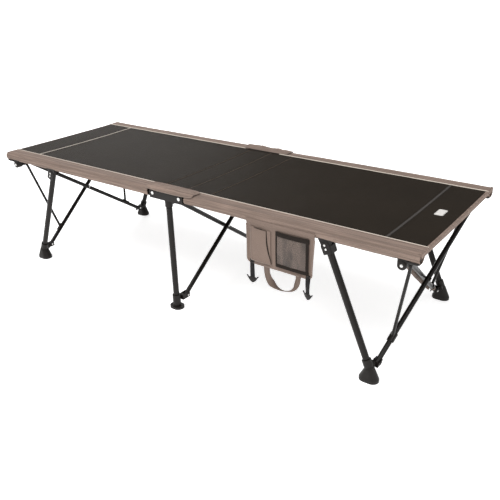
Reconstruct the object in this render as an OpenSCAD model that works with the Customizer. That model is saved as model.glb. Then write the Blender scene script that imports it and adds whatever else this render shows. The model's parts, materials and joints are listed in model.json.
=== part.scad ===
// Folding cot: two-piece side rails, three crossed leg sets, a fabric deck and a side pocket.
// X runs along the cot, Y across it and Z up. The floor is z = 0, below the middle of the deck.
// The near side is -Y and the right end is +X. The left end mirrors the right end.

/* [Deck] */
// Length of the deck
deck_l = 2100; // [2000:10:2200]
// Height of the fabric's upper face above the floor
deck_top = 531; // [500:1:560]
// Thickness of the deck fabric with its lining
deck_t = 3; // [2:0.5:4]

/* [Rails] */
// Distance between the axes of the two side rails
rail_gap = 700; // [660:10:740]
// Outer diameter of the rail tubes
rail_d = 25; // [22:0.5:25.5]
// Distance from the cot's middle to each rail hinge pin
hinge_x = 70; // [66:1:80]
// Outer diameter of the fabric sleeve on a rail
sleeve_d = 32; // [30:0.5:33]

/* [Leg sets] */
// Distance between the pivots of the crossed braces, across the cot
brace_gap = 606; // [560:2:612]
// Outer diameter of the brace tubes
brace_d = 19; // [16:0.5:19]
// Outer diameter of the leg tubes
leg_d = 25; // [22:0.5:25.5]
// Outer diameter of the struts
strut_d = 12; // [10:0.5:14]
// Distance from the middle to the pivots at the tops of the end legs
leg_top_x = 720; // [700:5:730]
// Distance from the middle to the end feet
foot_x = 900; // [880:5:920]
// Distance from the middle to the tilt axes of the end braces
end_x = 990; // [975:1:995]
// Height of the brace pivots in the middle feet
foot_pivot_z = 45; // [42:1:50]

/* [Pocket] */
// Distance from the middle to the pocket's inner side
pocket_x = 400; // [380:2:410]
// Width of the pocket panel
pocket_w = 284; // [240:2:286]
// Depth of the pocket panel, from the rail down
pocket_h = 164; // [150:2:180]

/* [Hidden] */
$fn = 48;

steel_wall = 1.5;          // wall of every steel tube
fit = 0.05;                // radial running clearance of a pin in its hole
gap = 0.4;                 // clearance beside a piece that turns

half_l = deck_l / 2;
rail_y = rail_gap / 2;
rail_z = deck_top - deck_t - sleeve_d / 2 - 0.3;
brace_y = brace_gap / 2;
brace_r = brace_d / 2;
layer = brace_r + 2;       // each brace of a pair lies this far from their common plane
plate = 3.2;               // thickness of a fork's plates
plate_out = layer + brace_r + gap;

top_pivot_z = rail_z - 35; // height of the braces' upper pivots
brace_s = top_pivot_z - foot_pivot_z;            // from the upper to the lower pivots
end_tilt = asin((end_x - foot_x) / brace_s);     // lean of the end braces' plane
end_foot_z = top_pivot_z - brace_s * cos(end_tilt);
brace_len = sqrt(brace_gap * brace_gap + brace_s * brace_s);
brace_angle = atan2(brace_s, brace_gap);
tail = 12;                 // a brace goes on this far past its end pivots
leg_tail = 10;             // an end leg goes on this far past its pivot

leg_top_z = rail_z - 31;   // height of the end legs' upper pivots
bracket_half_w = leg_d / 2 + 3.9;    // half the width of the end leg's bracket
cheek = 3.3;               // thickness of the bracket's two plates
leg_run = foot_x - leg_top_x;
leg_drop = leg_top_z - end_foot_z;
leg_len = sqrt(leg_run * leg_run + leg_drop * leg_drop);
leg_lean = atan2(leg_run, leg_drop);

pin_r = 4;
tilt_pin_r = 5;
head_r = 6.5;
head_t = 2;

sleeve_from = hinge_x + 27;
sleeve_to = half_l - 2;
rail_from = hinge_x - 12;
rail_to = half_l - 12;
bracket_half = hinge_x + 18;
deck_middle_to = hinge_x - 22;
deck_from = hinge_x + 12;  // each half of the deck starts here, clear of the channel when it folds up

strut_share = 0.14;        // where a strut meets a brace, as a share of the brace from its foot
strut_dy = strut_share * brace_gap;
strut_ds = (1 - strut_share) * brace_s;
strut_len = sqrt(strut_dy * strut_dy + strut_ds * strut_ds);
strut_angle = atan2(strut_dy, strut_ds);

pad_l = 74;                // foot pad, along the cot
pad_w = 50;                // foot pad, across the cot
pad_t = 10;

pocket_y = rail_y + sleeve_d / 2 + 1;            // inner face of the pocket panel
pocket_t = 8;
pocket_top = rail_z - 10;
strap_drop = 60;           // length of the straps below the panel

// ---- helpers ----

// Round tube along +Z
module tube(d, len, wall = steel_wall) {
    difference() {
        cylinder(d = d, h = len);
        translate([0, 0, -1]) cylinder(d = d - 2 * wall, h = len + 2);
    }
}

// Rod along X, centred
module rod_x(r, len) {
    rotate([0, 90, 0]) cylinder(r = r, h = len, center = true);
}

// Rod along Y, centred
module rod_y(r, len) {
    rotate([90, 0, 0]) cylinder(r = r, h = len, center = true);
}

// Rivet along X with a head at each end, for plates that are grip apart outside
module rivet_x(grip) {
    shank = grip + 0.2;
    rod_x(pin_r, shank);
    for (side = [-1, 1])
        translate([side * (shank + head_t) / 2, 0, 0]) rod_x(head_r, head_t);
}

// Rivet along Y with a head at each end
module rivet_y(grip) {
    rotate([0, 0, 90]) rivet_x(grip);
}

// Box given by its lowest and highest corners
module box(low, high) {
    translate(low) cube(high - low);
}

// The plane of the middle braces: the origin is on their upper pivots
module middle_plane() {
    translate([0, 0, top_pivot_z]) children();
}

// The plane of the right end's braces: local X points outwards and local -Z down the slope
module end_plane() {
    translate([end_x, 0, top_pivot_z]) rotate([0, end_tilt, 0]) children();
}

module left() {
    mirror([1, 0, 0]) children();
}

module far() {
    mirror([0, 1, 0]) children();
}

// ---- braces: drawn in a plane, from the near side's upper pivot to the far side's lower one ----

module brace_tube() {
    difference() {
        translate([0, -brace_y, 0]) rotate([-90 - brace_angle, 0, 0])
            translate([0, 0, -tail]) tube(brace_d, brace_len + 2 * tail, 1.2);
        for (share = [0, 0.5, 1])
            translate([0, brace_y * (2 * share - 1), -brace_s * share])
                rod_x(pin_r + fit, brace_d + 2);
    }
}

module brace_down() {
    translate([-layer, 0, 0]) brace_tube();
}

// The other brace of a pair carries the rivet at the crossing
module brace_up() {
    translate([layer, 0, 0]) far() brace_tube();
    translate([0, 0, -brace_s / 2]) rivet_x(2 * (layer + brace_r) + 1);
}

// Two plates beside a brace end, joined by a block on the outboard side.
// side is the brace's layer, -1 or 1, and block_y the block's outboard face.
module fork(side, block_y, block_t) {
    inner = side * (layer - brace_r - gap);
    outer = side * plate_out;
    difference() {
        union() {
            for (x = [inner - side * plate / 2, outer + side * plate / 2])
                box([x - plate / 2, -block_y, -11], [x + plate / 2, -brace_y + 12, 11]);
            box([min(inner - side * plate, outer + side * plate), -block_y, -11],
                [max(inner - side * plate, outer + side * plate), -block_y + block_t, 11]);
        }
        translate([0, -brace_y, 0]) rod_x(pin_r + fit, 80);
    }
    translate([side * layer, -brace_y, 0]) rivet_x(2 * (brace_r + gap + plate));
}

// ---- middle leg set ----

// Channel that holds both rails, with a socket for the leg and a fork for a brace
module hinge_bracket(side) {
    wall = 3;
    inside = rail_d / 2 + 0.5;
    floor_z = rail_z - 18;
    color("#1b1b1c") {
        difference() {
            union() {
                for (y = [-inside - wall, inside])
                    box([-bracket_half, -rail_y + y, floor_z - wall],
                        [bracket_half, -rail_y + y + wall, rail_z + 9]);
                box([-bracket_half, -rail_y - inside - 1, floor_z - wall],
                    [bracket_half, -rail_y + inside + 1, floor_z]);
                translate([0, -rail_y, floor_z - 30]) cylinder(d = leg_d + 6, h = 29);
            }
            translate([0, -rail_y, floor_z - 31]) cylinder(d = leg_d - 5 + 2 * fit, h = 40);
            for (x = [-hinge_x, hinge_x])
                translate([x, -rail_y, rail_z]) rod_y(pin_r + fit, 60);
        }
        middle_plane() fork(side, rail_y - inside - wall + 1, 11);
        // web from the channel's floor down to the fork's block
        box([min(0, side * 20), -rail_y + inside - 1, rail_z - 36],
            [max(0, side * 20), -rail_y + inside + 12, floor_z - 1]);
    }
}

module hinge_pins() {
    color("#c9c9c6")
        for (x = [-hinge_x, hinge_x])
            translate([x, -rail_y, rail_z]) rivet_y(rail_d + 7);
}

module middle_leg_inner() {
    color("#222224")
        translate([0, -rail_y, 81]) tube(leg_d - 5, rail_z - 18 - 81, 1.5);
}

module middle_leg_outer() {
    color("#1d1d1f")
        translate([0, -rail_y, 14]) tube(leg_d, rail_z - 18 - 30 - 14 - 6, 2.2);
}

// Round-ended pad on the floor
module pad(len, width, thick) {
    hull()
        for (x = [-1, 1])
            translate([x * (len - width) / 2, 0, 0]) cylinder(d = width, h = thick);
}

module middle_foot(side) {
    color("#151516") {
        difference() {
            translate([0, -rail_y, 0]) {
                pad(pad_l - 10, pad_w, pad_t);
                cylinder(d = leg_d + 9, h = 62);
            }
            translate([0, -rail_y, pad_t + 4]) cylinder(d = leg_d + 2 * fit, h = 60);
        }
        translate([0, 0, foot_pivot_z]) fork(side, rail_y - leg_d / 2 - 3, 14);
    }
}

// ---- rails ----

module rail() {
    color("#1d1d1f")
        difference() {
            translate([rail_from, -rail_y, rail_z]) rotate([0, 90, 0])
                tube(rail_d, rail_to - rail_from);
            translate([hinge_x, -rail_y, rail_z]) rod_y(pin_r + fit, 60);
        }
}

module rail_cap() {
    color("#151516")
        translate([rail_to, -rail_y, rail_z]) rotate([0, 90, 0]) {
            cylinder(d = rail_d, h = 5);
            translate([0, 0, -18]) cylinder(d = rail_d - 2 * steel_wall, h = 18);
        }
}

// Fabric tube on the rail, cut away below where the two brackets hang
module sleeve() {
    color("#8d8079")
        difference() {
            translate([sleeve_from, -rail_y, rail_z]) rotate([0, 90, 0])
                tube(sleeve_d, sleeve_to - sleeve_from, (sleeve_d - rail_d) / 2 - 0.3);
            for (x = [leg_top_x, end_x])
                box([x - 30, -rail_y - sleeve_d, rail_z - sleeve_d],
                    [x + 30, -rail_y + sleeve_d, rail_z]);
        }
}

// The two brackets fixed below a rail: a fork for the leg and a lug for the end braces
module rail_brackets() {
    end_half_w = leg_d / 2 + 1;
    saddle_low = rail_z - 14;
    cheek_top = saddle_low - leg_top_z + 1;
    color("#161617") {
        difference() {
            union() {
                box([leg_top_x - 28, -rail_y - bracket_half_w, saddle_low],
                    [leg_top_x + 28, -rail_y + bracket_half_w, rail_z - 1]);
                for (y = [-bracket_half_w + cheek / 2, bracket_half_w - cheek / 2])
                    translate([leg_top_x, -rail_y + y, leg_top_z]) {
                        rod_y(16, cheek);
                        rotate([90, 0, 0]) linear_extrude(height = cheek, center = true)
                            polygon([[-28, cheek_top], [28, cheek_top], [15.6, -3.5], [-15.6, -3.5]]);
                    }
            }
            translate([0, -rail_y, rail_z]) rotate([0, 90, 0]) cylinder(d = rail_d + 0.04, h = half_l);
            translate([leg_top_x, -rail_y, leg_top_z]) rod_y(pin_r + fit, 60);
        }
        difference() {
            union() {
                box([end_x - 24, -rail_y - end_half_w, saddle_low],
                    [end_x + 24, -rail_y + end_half_w, rail_z - 1]);
                translate([end_x, -rail_y, top_pivot_z]) {
                    rod_y(16, 24);
                    box([-16, -12, 0], [16, 12, saddle_low - top_pivot_z + 1]);
                }
            }
            translate([0, -rail_y, rail_z]) rotate([0, 90, 0]) cylinder(d = rail_d + 0.04, h = half_l);
            translate([end_x, -rail_y, top_pivot_z]) rod_y(tilt_pin_r + fit, 60);
        }
    }
    color("#c9c9c6")
        translate([leg_top_x, -rail_y, leg_top_z]) rivet_y(2 * bracket_half_w);
}

// ---- end leg sets ----

// Leg of an end set, from its pivot below the rail down to its foot
module end_leg() {
    color("#1d1d1f")
        difference() {
            translate([leg_top_x, -rail_y, leg_top_z]) rotate([0, 180 - leg_lean, 0])
                translate([0, 0, -leg_tail]) tube(leg_d, leg_len + leg_tail, 1.8);
            translate([leg_top_x, -rail_y, leg_top_z]) rod_y(pin_r + fit, 60);
        }
}

// Foot of an end leg: a level pad, a leaning socket and a boss that faces the braces' hub
module end_foot() {
    color("#151516")
        difference() {
            union() {
                hull() {
                    translate([foot_x + 4, -rail_y, 0]) pad(pad_l, pad_w, pad_t, $fn = 32);
                    translate([foot_x, -rail_y, end_foot_z]) rotate([0, -leg_lean, 0])
                        translate([0, 0, -6]) cylinder(d = leg_d + 12, h = 3, $fn = 32);
                }
                translate([foot_x, -rail_y, end_foot_z]) rotate([0, -leg_lean, 0])
                    translate([0, 0, -5]) cylinder(d = leg_d + 9, h = 33);
                translate([foot_x, -rail_y + 15, end_foot_z]) rod_y(14, 19);
            }
            translate([foot_x, -rail_y, end_foot_z]) rotate([0, -leg_lean, 0])
                cylinder(d = leg_d + 2 * fit, h = 40);
        }
}

// Swivelling clevis below the rail: a stub pin in the bracket's lug, three plates and their rivet.
// The brace is between two of the plates, and the strut between the next two.
module brace_clevis() {
    block_y = rail_y - 17;
    block_in = brace_y + 19;
    color("#1b1b1c")
        end_plane() {
            difference() {
                union() {
                    box([-plate_out - plate, -block_y, -11], [plate_out + plate, -block_in, 11]);
                    for (x = [-plate_out - plate, -plate / 2, plate_out])
                        box([x, -block_in - 1, -11], [x + plate, -brace_y + 12, 11]);
                }
                translate([0, -brace_y, 0]) rod_x(pin_r + fit, 80);
            }
            translate([0, -rail_y + 1.5, 0]) rod_y(tilt_pin_r, 33);
        }
    color("#c9c9c6") end_plane() translate([0, -brace_y, 0]) rivet_x(2 * (plate_out + plate));
}

// Fork on the lower end of a brace, facing the foot's boss
module brace_hub(side) {
    color("#1b1b1c")
        end_plane() translate([0, 0, -brace_s]) {
            fork(side, brace_y + 20, 3.4);
            translate([side * 4, -brace_y - 20.5, 0]) rod_y(12, 2);
        }
}

// Thin strut from the clevis to a half-round saddle on the opposite brace
module strut(side) {
    saddle_r = brace_r + 4;
    color("#232325")
        end_plane() translate([side * layer, -brace_y, 0]) {
            difference() {
                union() {
                    rod_x(9, brace_d);
                    rotate([180 + strut_angle, 0, 0]) cylinder(d = strut_d, h = strut_len - 4);
                    translate([0, strut_dy, -strut_ds]) rotate([brace_angle - 90, 0, 0])
                        cylinder(r = saddle_r, h = 36, center = true);
                }
                rod_x(pin_r + fit, 40);
                translate([0, strut_dy, -strut_ds]) rotate([brace_angle - 90, 0, 0]) {
                    cylinder(r = brace_r + gap, h = 60, center = true);
                    box([-20, 0.5, -30], [20, 40, 30]);
                }
            }
        }
}

// ---- soft parts ----

module deck_half() {
    color("#1b1b1d")
        box([deck_from, -rail_y - sleeve_d / 2, deck_top - deck_t],
            [half_l, rail_y + sleeve_d / 2, deck_top]);
}

module deck_middle() {
    color("#8d8079")
        box([-deck_middle_to, -rail_y - sleeve_d / 2, deck_top - deck_t],
            [deck_middle_to, rail_y + sleeve_d / 2, deck_top]);
}

// Panel that hangs beside the near rail, with one deep and one open pocket on its face
module pocket_panel() {
    back = 2;
    front = 1.2;
    color("#8d8079")
        difference() {
            box([pocket_x, -pocket_y - pocket_t, pocket_top - pocket_h],
                [pocket_x + pocket_w, -pocket_y, pocket_top]);
            for (x = [pocket_x + 12, pocket_x + pocket_w * 0.44])
                box([x, -pocket_y - pocket_t + front, pocket_top - pocket_h + 14],
                    [x + pocket_w * (x < pocket_x + 20 ? 0.34 : 0.5), -pocket_y - back,
                     pocket_top + 1]);
        }
}

// Webbing handle that hangs in a loop below the panel
module pocket_handle() {
    loop_r = 78;
    low_z = pocket_top - pocket_h;
    color("#8d8079")
        translate([pocket_x + pocket_w / 2, -pocket_y - 3.5, low_z])
            difference() {
                rod_y(loop_r, 5);
                rod_y(loop_r - 3, 8);
                box([-loop_r - 1, -5, 0], [loop_r + 1, 5, loop_r + 1]);
            }
}

module pocket_straps() {
    low_z = pocket_top - pocket_h;
    color("#1b1b1c")
        for (x = [pocket_x + 22, pocket_x + pocket_w - 22])
            box([x - 10, -pocket_y - 5, low_z - strap_drop], [x + 10, -pocket_y - 3, low_z]);
}

module strap_buckles() {
    low_z = pocket_top - pocket_h - strap_drop;
    color("#151516")
        for (x = [pocket_x + 22, pocket_x + pocket_w - 22])
            translate([x, -pocket_y - 4, low_z]) {
                box([-14, -3.5, -24], [14, 3.5, 0]);
                for (side = [-1, 1])
                    translate([side * 15.5, 0, -12]) rotate([0, side * 30, 0])
                        box([-2, -2.5, -2], [2, 2.5, 20]);
            }
}

// ---- nodes ----

left() deck_half();  // deck_left
deck_middle();
deck_half();  // deck_right
left() sleeve();  // sleeve_near_left
sleeve();  // sleeve_near_right
left() far() sleeve();  // sleeve_far_left
far() sleeve();  // sleeve_far_right
left() rail();  // rail_near_left
rail();  // rail_near_right
left() far() rail();  // rail_far_left
far() rail();  // rail_far_right
left() rail_cap();  // rail_cap_near_left
rail_cap();  // rail_cap_near_right
left() far() rail_cap();  // rail_cap_far_left
far() rail_cap();  // rail_cap_far_right
hinge_bracket(-1);  // hinge_bracket_near
far() hinge_bracket(1);  // hinge_bracket_far
hinge_pins();  // hinge_pins_near
far() hinge_pins();  // hinge_pins_far
middle_leg_inner();  // middle_leg_inner_near
far() middle_leg_inner();  // middle_leg_inner_far
middle_leg_outer();  // middle_leg_outer_near
far() middle_leg_outer();  // middle_leg_outer_far
middle_foot(1);  // middle_foot_near
far() middle_foot(-1);  // middle_foot_far
color("#1d1d1f") middle_plane() brace_down();  // middle_brace_down
color("#1d1d1f") middle_plane() brace_up();  // middle_brace_up
left() rail_brackets();  // rail_brackets_near_left
rail_brackets();  // rail_brackets_near_right
left() far() rail_brackets();  // rail_brackets_far_left
far() rail_brackets();  // rail_brackets_far_right
left() end_leg();  // end_leg_near_left
end_leg();  // end_leg_near_right
left() far() end_leg();  // end_leg_far_left
far() end_leg();  // end_leg_far_right
left() end_foot();  // end_foot_near_left
end_foot();  // end_foot_near_right
left() far() end_foot();  // end_foot_far_left
far() end_foot();  // end_foot_far_right
left() brace_clevis();  // brace_clevis_near_left
brace_clevis();  // brace_clevis_near_right
left() far() brace_clevis();  // brace_clevis_far_left
far() brace_clevis();  // brace_clevis_far_right
left() brace_hub(1);  // brace_hub_near_left
brace_hub(1);  // brace_hub_near_right
left() far() brace_hub(-1);  // brace_hub_far_left
far() brace_hub(-1);  // brace_hub_far_right
left() color("#1d1d1f") end_plane() brace_down();  // end_brace_down_left
color("#1d1d1f") end_plane() brace_down();  // end_brace_down_right
left() color("#1d1d1f") end_plane() brace_up();  // end_brace_up_left
color("#1d1d1f") end_plane() brace_up();  // end_brace_up_right
left() strut(1);  // strut_near_left
strut(1);  // strut_near_right
left() far() strut(-1);  // strut_far_left
far() strut(-1);  // strut_far_right
pocket_panel();
pocket_handle();
pocket_straps();
strap_buckles();
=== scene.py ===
"""The looks of the folding cot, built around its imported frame.

Metres throughout. The near side is -Y and the right end is +X, as in the frame.
"""

import json
import math

import bmesh
import bpy
from mathutils import Matrix, Vector, noise

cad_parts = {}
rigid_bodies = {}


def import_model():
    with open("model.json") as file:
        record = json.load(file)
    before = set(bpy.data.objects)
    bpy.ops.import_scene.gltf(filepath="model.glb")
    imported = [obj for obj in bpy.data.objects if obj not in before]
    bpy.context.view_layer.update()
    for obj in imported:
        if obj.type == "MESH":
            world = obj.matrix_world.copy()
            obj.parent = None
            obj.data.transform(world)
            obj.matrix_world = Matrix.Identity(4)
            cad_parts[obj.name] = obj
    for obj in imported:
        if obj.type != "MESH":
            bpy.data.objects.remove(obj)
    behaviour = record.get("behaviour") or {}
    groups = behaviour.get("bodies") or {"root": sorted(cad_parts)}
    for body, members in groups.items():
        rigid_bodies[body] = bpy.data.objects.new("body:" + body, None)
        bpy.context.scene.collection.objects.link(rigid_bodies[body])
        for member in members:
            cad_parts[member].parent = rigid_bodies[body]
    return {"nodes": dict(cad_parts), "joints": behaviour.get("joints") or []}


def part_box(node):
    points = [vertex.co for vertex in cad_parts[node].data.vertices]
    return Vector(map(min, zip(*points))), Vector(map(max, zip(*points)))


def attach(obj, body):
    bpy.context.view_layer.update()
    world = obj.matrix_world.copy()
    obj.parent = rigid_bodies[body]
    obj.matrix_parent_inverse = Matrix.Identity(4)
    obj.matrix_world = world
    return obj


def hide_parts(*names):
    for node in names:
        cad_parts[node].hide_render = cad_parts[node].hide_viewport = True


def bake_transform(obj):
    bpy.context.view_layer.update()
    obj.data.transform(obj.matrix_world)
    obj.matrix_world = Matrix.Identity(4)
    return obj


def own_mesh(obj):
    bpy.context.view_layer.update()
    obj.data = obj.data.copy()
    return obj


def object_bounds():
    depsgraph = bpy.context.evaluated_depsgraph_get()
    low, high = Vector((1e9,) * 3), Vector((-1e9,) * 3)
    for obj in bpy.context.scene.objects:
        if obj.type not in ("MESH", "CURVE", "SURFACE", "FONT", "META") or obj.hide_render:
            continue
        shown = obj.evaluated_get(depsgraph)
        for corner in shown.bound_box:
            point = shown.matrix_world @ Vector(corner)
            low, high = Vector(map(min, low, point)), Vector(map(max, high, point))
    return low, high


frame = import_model()
cad_low, cad_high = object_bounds()

# ---- places taken from the frame ----

rail_low, rail_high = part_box("rail_near_right")
RAIL_Y = -(rail_low.y + rail_high.y) / 2
RAIL_Z = (rail_low.z + rail_high.z) / 2
DECK_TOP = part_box("deck_middle")[1].z
HALF_L = cad_high.x
SLEEVE_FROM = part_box("sleeve_near_right")[0].x
JOINTS = {joint["name"]: joint for joint in frame["joints"]}
LEG_X = JOINTS["near_right_leg_swing"]["pos_m"][0]
END_X = JOINTS["near_right_brace_tilt"]["pos_m"][0]
POCKET_LOW, POCKET_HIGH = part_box("pocket_panel")

# ---- sizes of the soft parts ----

BAND_IN = 0.3005          # from the middle line to the seam between the black cloth and the border
PANEL_END = 0.0505        # the middle piece of the deck ends here, so that both halves can fold up
SEAM_X = {"right": 0.906, "left": 0.880}   # seams of the end panels
CLOTH = 0.0012            # thickness of the cloth
SAG = 0.0045              # how far the deck hangs in the middle
DECK_FACE = 0.0016        # the face of the deck's cloth is this far below DECK_TOP at the borders
LEG_GAP = 0.031           # half the cut in the border's underside for an end leg's bracket
LUG_GAP = 0.029           # the same for an end brace's lug
PITCH_BORDER = 0.0055     # length of a stitch and the space after it, on the border and the seams
PITCH_FLAP = 0.0050
PITCH_POCKET = 0.0048


SIGN = {"left": -1, "right": 1}
QUARTERS = [(side, end) for side in (-1, 1) for end in ("left", "right")]    # side is -1 near and 1 far

# ---- materials ----


class Shader:
    """A node material under construction."""

    def __init__(self, name):
        self.material = bpy.data.materials.new(name)
        self.material.use_nodes = True
        self.tree = self.material.node_tree
        self.surface = self.tree.nodes["Principled BSDF"]
        self.place = self.add("ShaderNodeTexCoord").outputs["Object"]

    def add(self, kind, **settings):
        node = self.tree.nodes.new(kind)
        for key, value in settings.items():
            setattr(node, key, value)
        return node

    def link(self, out, into):
        self.tree.links.new(out, into)

    def set(self, **values):
        for key, value in values.items():
            self.surface.inputs[key.replace("_", " ")].default_value = value

    def noise(self, scale, detail=3.0, rough=0.5, stretch=(1, 1, 1)):
        node = self.add("ShaderNodeTexNoise")
        node.inputs["Scale"].default_value = scale
        node.inputs["Detail"].default_value = detail
        node.inputs["Roughness"].default_value = rough
        self.link(self.stretched(stretch), node.inputs["Vector"])
        return node.outputs["Fac"]

    def stretched(self, stretch, turn=(0, 0, 0)):
        node = self.add("ShaderNodeMapping")
        node.inputs["Scale"].default_value = stretch
        node.inputs["Rotation"].default_value = turn
        self.link(self.place, node.inputs["Vector"])
        return node.outputs["Vector"]

    def threads(self, period, turn):
        """Bands across the turned X axis, one for each thread."""
        node = self.add("ShaderNodeTexWave", wave_type="BANDS", bands_direction="X")
        node.inputs["Scale"].default_value = 2 * math.pi / (20 * period)
        node.inputs["Distortion"].default_value = 0.4
        node.inputs["Detail"].default_value = 1.0
        self.link(self.stretched((1, 1, 1), turn), node.inputs["Vector"])
        return node.outputs["Fac"]

    def math(self, operation, a, b):
        node = self.add("ShaderNodeMath", operation=operation)
        for socket, value in zip(node.inputs, (a, b)):
            if isinstance(value, (int, float)):
                socket.default_value = value
            else:
                self.link(value, socket)
        return node.outputs[0]

    def ramp(self, fac, stops):
        """A colour or grey ramp. stops are (place, colour or grey)."""
        node = self.add("ShaderNodeValToRGB")
        elements = node.color_ramp.elements
        while len(elements) < len(stops):
            elements.new(0.5)
        for element, (place, colour) in zip(elements, stops):
            element.position = place
            element.color = (*colour, 1) if hasattr(colour, "__len__") else (colour,) * 3 + (1,)
        self.link(fac, node.inputs["Fac"])
        return node.outputs["Color"]

    def mix(self, fac, a, b):
        node = self.add("ShaderNodeMix", data_type="RGBA")
        for socket, value in zip((node.inputs[0], node.inputs[6], node.inputs[7]), (fac, a, b)):
            if isinstance(value, (int, float)):
                socket.default_value = value
            elif isinstance(value, tuple):
                socket.default_value = (*value, 1)
            else:
                self.link(value, socket)
        return node.outputs[2]

    def colour(self, out):
        self.link(out, self.surface.inputs["Base Color"])

    def rough(self, fac, low, high):
        self.link(self.ramp(fac, [(0.25, low), (0.75, high)]), self.surface.inputs["Roughness"])

    def bump(self, *layers):
        """layers are (height, distance in metres), the coarsest first."""
        normal = None
        for height, distance in layers:
            node = self.add("ShaderNodeBump")
            node.inputs["Strength"].default_value = 1.0
            node.inputs["Distance"].default_value = distance
            self.link(height, node.inputs["Height"])
            if normal:
                self.link(normal, node.inputs["Normal"])
            normal = node.outputs["Normal"]
        self.link(normal, self.surface.inputs["Normal"])


def shade(colour, factor):
    return tuple(min(1.0, c * factor) for c in colour)


def woven(name, colour, period, depth, sheen, roughness, crease=0.0006, contrast=0.35, streak=0.0,
          gloss=0.3):
    """Plain-woven cloth: two sets of threads, mottled yarn, soft creases and, with streak, long darker lines
    and long lighter lines of painted highlight.
    """
    s = Shader(name)
    s.set(Sheen_Weight=sheen, Sheen_Roughness=0.5, Specular_IOR_Level=gloss)
    warp = s.threads(period, (0, 0, 0))
    weft = s.threads(period, (math.radians(45), 0, math.radians(90)))
    cloth = s.math("MULTIPLY", warp, weft)
    yarn = s.noise(420, 4, 0.7)
    patches = s.noise(7, 4, 0.6)
    folds = s.noise(16, 5, 0.55, (0.35, 1, 1))
    tone = s.ramp(patches, [(0.2, shade(colour, 0.86)), (0.5, colour), (0.8, shade(colour, 1.16))])
    tone = s.mix(s.ramp(cloth, [(0.0, 0.0), (0.6, contrast)]), tone, shade(colour, 1.7))
    tone = s.mix(s.ramp(yarn, [(0.35, 0.0), (0.75, 0.4)]), tone, shade(colour, 0.62))
    if streak:
        lines = s.noise(150, 3, 0.6, (0.02, 1, 1))
        tone = s.mix(s.ramp(lines, [(0.42, 0.0), (0.60, streak)]), tone, shade(colour, 0.58))
        # painted highlight: long lighter lines that stand in for light caught along the cloth
        tone = s.mix(s.ramp(lines, [(0.28, streak * 0.6), (0.44, 0.0)]), tone, shade(colour, 1.5))
    s.colour(tone)
    s.rough(yarn, roughness - 0.08, roughness + 0.08)
    s.bump((folds, crease), (yarn, depth * 0.5), (cloth, depth))
    return s.material


def netting(name, thread, behind, period):
    """Open net over the cloth behind it."""
    s = Shader(name)
    s.set(Sheen_Weight=0.1, Specular_IOR_Level=0.3)
    slant = math.radians(30)
    a = s.threads(period, (0, slant, 0))
    b = s.threads(period, (0, -slant, 0))
    net = s.math("MAXIMUM", a, b)
    mask = s.ramp(net, [(0.55, 0.0), (0.85, 1.0)])
    patches = s.noise(30, 3, 0.5, (1, 1, 0.35))
    back = s.ramp(patches, [(0.38, shade(behind, 0.5)), (0.62, shade(behind, 1.5))])
    s.colour(s.mix(mask, back, thread))
    s.rough(patches, 0.6, 0.8)
    s.bump((patches, 0.0008), (net, 0.0003))
    return s.material


def ribbed(name, colour, period, turn, roughness=0.62):
    """Webbing, with ribs across the turned X axis and a fleck of yarn."""
    s = Shader(name)
    s.set(Sheen_Weight=0.03, Specular_IOR_Level=0.15)
    ribs = s.threads(period, turn)
    yarn = s.noise(600, 3, 0.7)
    tone = s.mix(s.ramp(ribs, [(0.1, 0.0), (0.8, 0.55)]), shade(colour, 0.6), shade(colour, 1.2))
    tone = s.mix(s.ramp(yarn, [(0.35, 0.0), (0.7, 0.35)]), tone, shade(colour, 0.55))
    s.colour(tone)
    s.rough(yarn, roughness - 0.08, roughness + 0.1)
    s.bump((yarn, 0.0001), (ribs, 0.0004))
    return s.material


def painted(name, colour, roughness):
    """Baked gloss enamel on steel: a slight orange peel and rubbed patches."""
    s = Shader(name)
    s.set(Coat_Weight=0.14, Coat_Roughness=0.08, Specular_IOR_Level=0.14)
    peel = s.noise(520, 2, 0.5)
    rubs = s.noise(26, 5, 0.65)
    dust = s.noise(9, 4, 0.6)
    tone = s.ramp(dust, [(0.3, shade(colour, 0.8)), (0.7, shade(colour, 1.6))])
    s.colour(s.mix(s.ramp(rubs, [(0.62, 0.0), (0.78, 0.5)]), tone, shade(colour, 2.6)))
    s.rough(rubs, roughness, roughness + 0.16)
    s.bump((rubs, 0.0001), (peel, 0.00005))
    return s.material


def moulded(name, colour, roughness):
    """Black moulded plastic with a fine spark-eroded grain and pale scuffs."""
    s = Shader(name)
    s.set(Specular_IOR_Level=0.2)
    grain = s.noise(1400, 3, 0.6)
    flow = s.noise(22, 4, 0.6)
    scuffs = s.noise(120, 5, 0.75, (1, 1, 0.3))
    tone = s.ramp(flow, [(0.3, shade(colour, 0.85)), (0.7, shade(colour, 1.35))])
    s.colour(s.mix(s.ramp(scuffs, [(0.66, 0.0), (0.8, 0.45)]), tone, shade(colour, 3.5)))
    s.rough(flow, roughness - 0.06, roughness + 0.1)
    s.bump((flow, 0.0003), (grain, 0.00008))
    return s.material


def steel(name, colour, roughness):
    """Zinc-plated steel, lightly scratched."""
    s = Shader(name)
    s.set(Metallic=1.0)
    scratches = s.noise(500, 4, 0.7, (1, 1, 0.15))
    cloud = s.noise(180, 3)
    s.colour(s.ramp(cloud, [(0.3, shade(colour, 0.7)), (0.7, colour)]))
    s.rough(scratches, roughness - 0.08, roughness + 0.14)
    s.bump((scratches, 0.00006))
    return s.material


BLACK = (0.0170, 0.0125, 0.0085)
TAUPE = (0.212, 0.156, 0.128)
CREAM = (0.66, 0.58, 0.50)

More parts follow.
